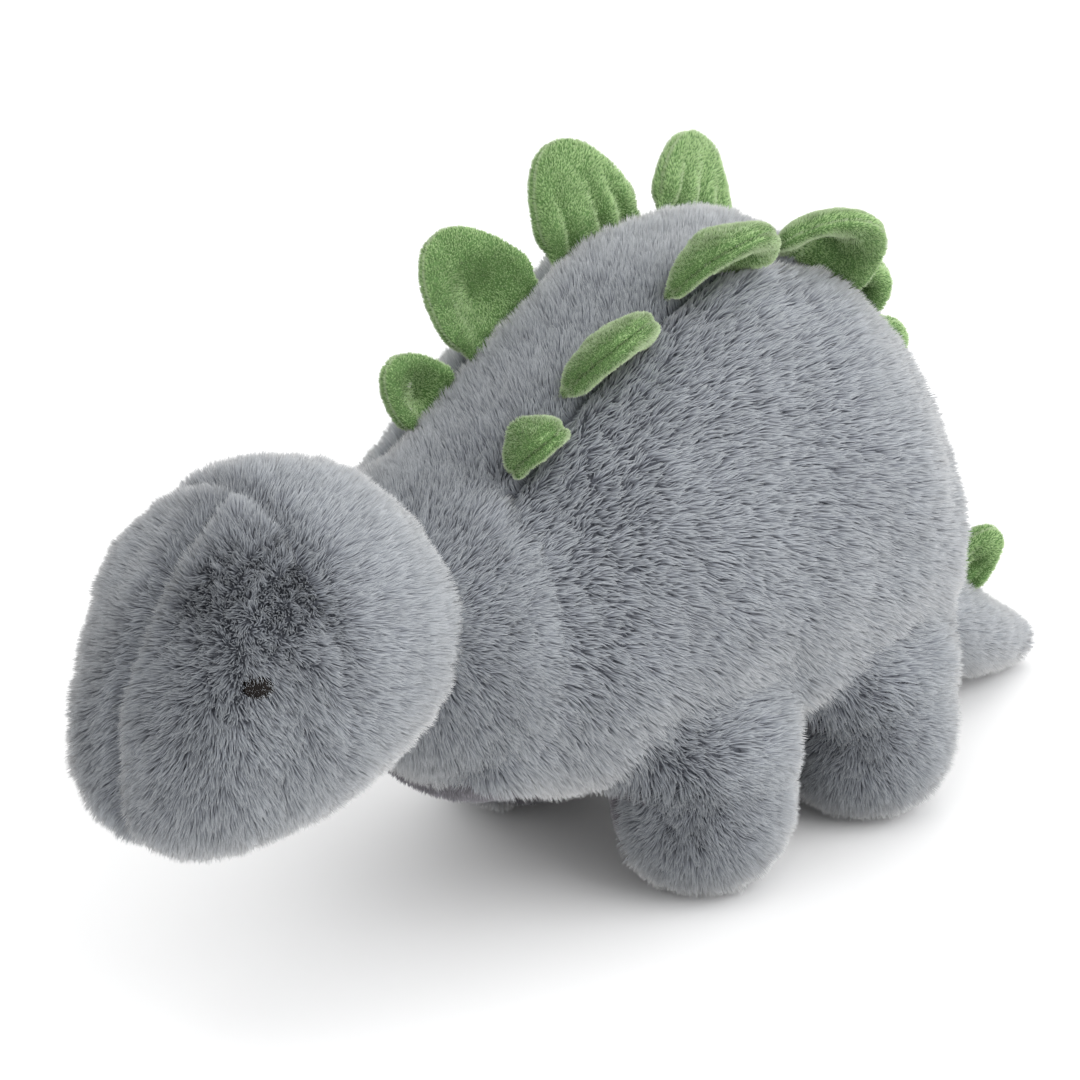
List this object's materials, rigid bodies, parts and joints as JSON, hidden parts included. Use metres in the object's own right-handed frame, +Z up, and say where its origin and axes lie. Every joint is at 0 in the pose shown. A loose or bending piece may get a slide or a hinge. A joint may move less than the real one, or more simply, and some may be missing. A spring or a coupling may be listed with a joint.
{
  "type": "stuffed dinosaur",
  "caption": "Soft stuffed dinosaur with a round body, low hanging head, stubby legs, tapering tail and two rows of padded back plates.",
  "frame": {"origin": "on the floor below the middle of the bounding box, between the feet and a little ahead of the hind legs", "axes": "+Z up, the animal faces -Y, its left side is +X"},
  "size_m": [0.1922, 0.54, 0.2972],
  "materials": {
    "long_fur": "long blue-grey pile with pale tips",
    "short_fur": "short dark grey pile",
    "plush_green": "dense short green pile",
    "stuffing": "loose white polyester fibre",
    "thread": "satin embroidery thread"
  },
  "bodies": {
    "torso": {"body_back_strip": "long_fur", "body_side_left": "long_fur", "body_side_right": "long_fur", "body_belly_panel": "short_fur", "body_fill": "stuffing"},
    "neck": {"neck_fill": "stuffing"},
    "head": {"head_face_left": "long_fur", "head_face_right": "long_fur", "head_back_panel": "long_fur", "head_fill": "stuffing", "eye_left": "thread", "eye_right": "thread"},
    "front_left_leg": {"front_left_leg_sleeve": "long_fur", "front_left_leg_sole": "short_fur", "front_left_leg_fill": "stuffing"},
    "front_right_leg": {"front_right_leg_sleeve": "long_fur", "front_right_leg_sole": "short_fur", "front_right_leg_fill": "stuffing"},
    "hind_left_leg": {"hind_left_leg_sleeve": "long_fur", "hind_left_leg_sole": "short_fur", "hind_left_leg_fill": "stuffing"},
    "hind_right_leg": {"hind_right_leg_sleeve": "long_fur", "hind_right_leg_sole": "short_fur", "hind_right_leg_fill": "stuffing"},
    "tail": {"tail_side_left": "long_fur", "tail_side_right": "long_fur", "tail_fill": "stuffing"},
    "plate_left_1": {"plate_left_1_cover": "plush_green", "plate_left_1_batting": "stuffing"},
    "plate_left_2": {"plate_left_2_cover": "plush_green", "plate_left_2_batting": "stuffing"},
    "plate_left_3": {"plate_left_3_cover": "plush_green", "plate_left_3_batting": "stuffing"},
    "plate_left_4": {"plate_left_4_cover": "plush_green", "plate_left_4_batting": "stuffing"},
    "plate_left_5": {"plate_left_5_cover": "plush_green", "plate_left_5_batting": "stuffing"},
    "plate_left_6": {"plate_left_6_cover": "plush_green", "plate_left_6_batting": "stuffing"},
    "plate_left_7": {"plate_left_7_cover": "plush_green", "plate_left_7_batting": "stuffing"},
    "plate_right_1": {"plate_right_1_cover": "plush_green", "plate_right_1_batting": "stuffing"},
    "plate_right_2": {"plate_right_2_cover": "plush_green", "plate_right_2_batting": "stuffing"},
    "plate_right_3": {"plate_right_3_cover": "plush_green", "plate_right_3_batting": "stuffing"},
    "plate_right_4": {"plate_right_4_cover": "plush_green", "plate_right_4_batting": "stuffing"},
    "plate_right_5": {"plate_right_5_cover": "plush_green", "plate_right_5_batting": "stuffing"},
    "plate_right_6": {"plate_right_6_cover": "plush_green", "plate_right_6_batting": "stuffing"},
    "plate_right_7": {"plate_right_7_cover": "plush_green", "plate_right_7_batting": "stuffing"}
  },
  "joints": [
    {"name": "head_turn", "type": "hinge", "parent": "torso", "child": "neck", "pos_m": [0, -0.118, 0.132], "axis": [0, 0, 1], "range_deg": [-15, 15], "stiffness_Nm_per_rad": 1},
    {"name": "head_nod", "type": "hinge", "parent": "neck", "child": "head", "pos_m": [0, -0.118, 0.132], "axis": [1, 0, 0], "range_deg": [-13, 15], "stiffness_Nm_per_rad": 1.6, "springref_deg": -2.98},
    {"name": "tail_wag", "type": "hinge", "parent": "torso", "child": "tail", "pos_m": [0, 0.15, 0.06], "axis": [0, 0, 1], "range_deg": [-18, 18], "stiffness_Nm_per_rad": 0.4},
    {"name": "front_left_leg_swing", "type": "hinge", "parent": "torso", "child": "front_left_leg", "pos_m": [0.054, -0.01, 0.046], "axis": [1, 0, 0], "range_deg": [-15, 8], "stiffness_Nm_per_rad": 2},
    {"name": "front_right_leg_swing", "type": "hinge", "parent": "torso", "child": "front_right_leg", "pos_m": [-0.054, -0.01, 0.046], "axis": [1, 0, 0], "range_deg": [-15, 8], "stiffness_Nm_per_rad": 2},
    {"name": "hind_left_leg_swing", "type": "hinge", "parent": "torso", "child": "hind_left_leg", "pos_m": [0.054, 0.092, 0.046], "axis": [1, 0, 0], "range_deg": [-8, 15], "stiffness_Nm_per_rad": 2},
    {"name": "hind_right_leg_swing", "type": "hinge", "parent": "torso", "child": "hind_right_leg", "pos_m": [-0.054, 0.092, 0.046], "axis": [1, 0, 0], "range_deg": [-8, 15], "stiffness_Nm_per_rad": 2},
    {"name": "plate_left_1_fold", "type": "hinge", "parent": "torso", "child": "plate_left_1", "pos_m": [0.03, -0.084, 0.20328], "axis": [0, 0.8045, 0.594], "range_deg": [-45, 20], "stiffness_Nm_per_rad": 0.02},
    {"name": "plate_left_2_fold", "type": "hinge", "parent": "torso", "child": "plate_left_2", "pos_m": [0.031, -0.045, 0.22965], "axis": [0, 0.8517, 0.524], "range_deg": [-45, 20], "stiffness_Nm_per_rad": 0.02},
    {"name": "plate_left_3_fold", "type": "hinge", "parent": "torso", "child": "plate_left_3", "pos_m": [0.031, 0.009, 0.25451], "axis": [0, 0.967, 0.2549], "range_deg": [-45, 20], "stiffness_Nm_per_rad": 0.02},
    {"name": "plate_left_4_fold", "type": "hinge", "parent": "torso", "child": "plate_left_4", "pos_m": [0.031, 0.067, 0.25078], "axis": [0, 0.907, -0.4211], "range_deg": [-45, 20], "stiffness_Nm_per_rad": 0.02},
    {"name": "plate_left_5_fold", "type": "hinge", "parent": "torso", "child": "plate_left_5", "pos_m": [0.029, 0.099, 0.22701], "axis": [0, 0.6684, -0.7438], "range_deg": [-45, 20], "stiffness_Nm_per_rad": 0.02},
    {"name": "plate_left_6_fold", "type": "hinge", "parent": "torso", "child": "plate_left_6", "pos_m": [0.026, 0.12, 0.19874], "axis": [0, 0.5053, -0.8629], "range_deg": [-45, 20], "stiffness_Nm_per_rad": 0.02},
    {"name": "plate_left_7_fold", "type": "hinge", "parent": "tail", "child": "plate_left_7", "pos_m": [0.012, 0.202, 0.06382], "axis": [0, 0.814, -0.5809], "range_deg": [-45, 20], "stiffness_Nm_per_rad": 0.02},
    {"name": "plate_right_1_fold", "type": "hinge", "parent": "torso", "child": "plate_right_1", "pos_m": [-0.03, -0.079, 0.20696], "axis": [0, 0.8069, 0.5907], "range_deg": [-20, 45], "stiffness_Nm_per_rad": 0.02},
    {"name": "plate_right_2_fold", "type": "hinge", "parent": "torso", "child": "plate_right_2", "pos_m": [-0.031, -0.04, 0.23267], "axis": [0, 0.8605, 0.5095], "range_deg": [-20, 45], "stiffness_Nm_per_rad": 0.02},
    {"name": "plate_right_3_fold", "type": "hinge", "parent": "torso", "child": "plate_right_3", "pos_m": [-0.031, 0.014, 0.25572], "axis": [0, 0.9773, 0.2119], "range_deg": [-20, 45], "stiffness_Nm_per_rad": 0.02},
    {"name": "plate_right_4_fold", "type": "hinge", "parent": "torso", "child": "plate_right_4", "pos_m": [-0.031, 0.072, 0.24825], "axis": [0, 0.8762, -0.4819], "range_deg": [-20, 45], "stiffness_Nm_per_rad": 0.02},
    {"name": "plate_right_5_fold", "type": "hinge", "parent": "torso", "child": "plate_right_5", "pos_m": [-0.029, 0.104, 0.22113], "axis": [0, 0.6277, -0.7785], "range_deg": [-20, 45], "stiffness_Nm_per_rad": 0.02},
    {"name": "plate_right_6_fold", "type": "hinge", "parent": "torso", "child": "plate_right_6", "pos_m": [-0.026, 0.125, 0.1898], "axis": [0, 0.471, -0.8821], "range_deg": [-20, 45], "stiffness_Nm_per_rad": 0.02},
    {"name": "plate_right_7_fold", "type": "hinge", "parent": "tail", "child": "plate_right_7", "pos_m": [-0.012, 0.202, 0.06382], "axis": [0, 0.814, -0.5809], "range_deg": [-20, 45], "stiffness_Nm_per_rad": 0.02}
  ]
}
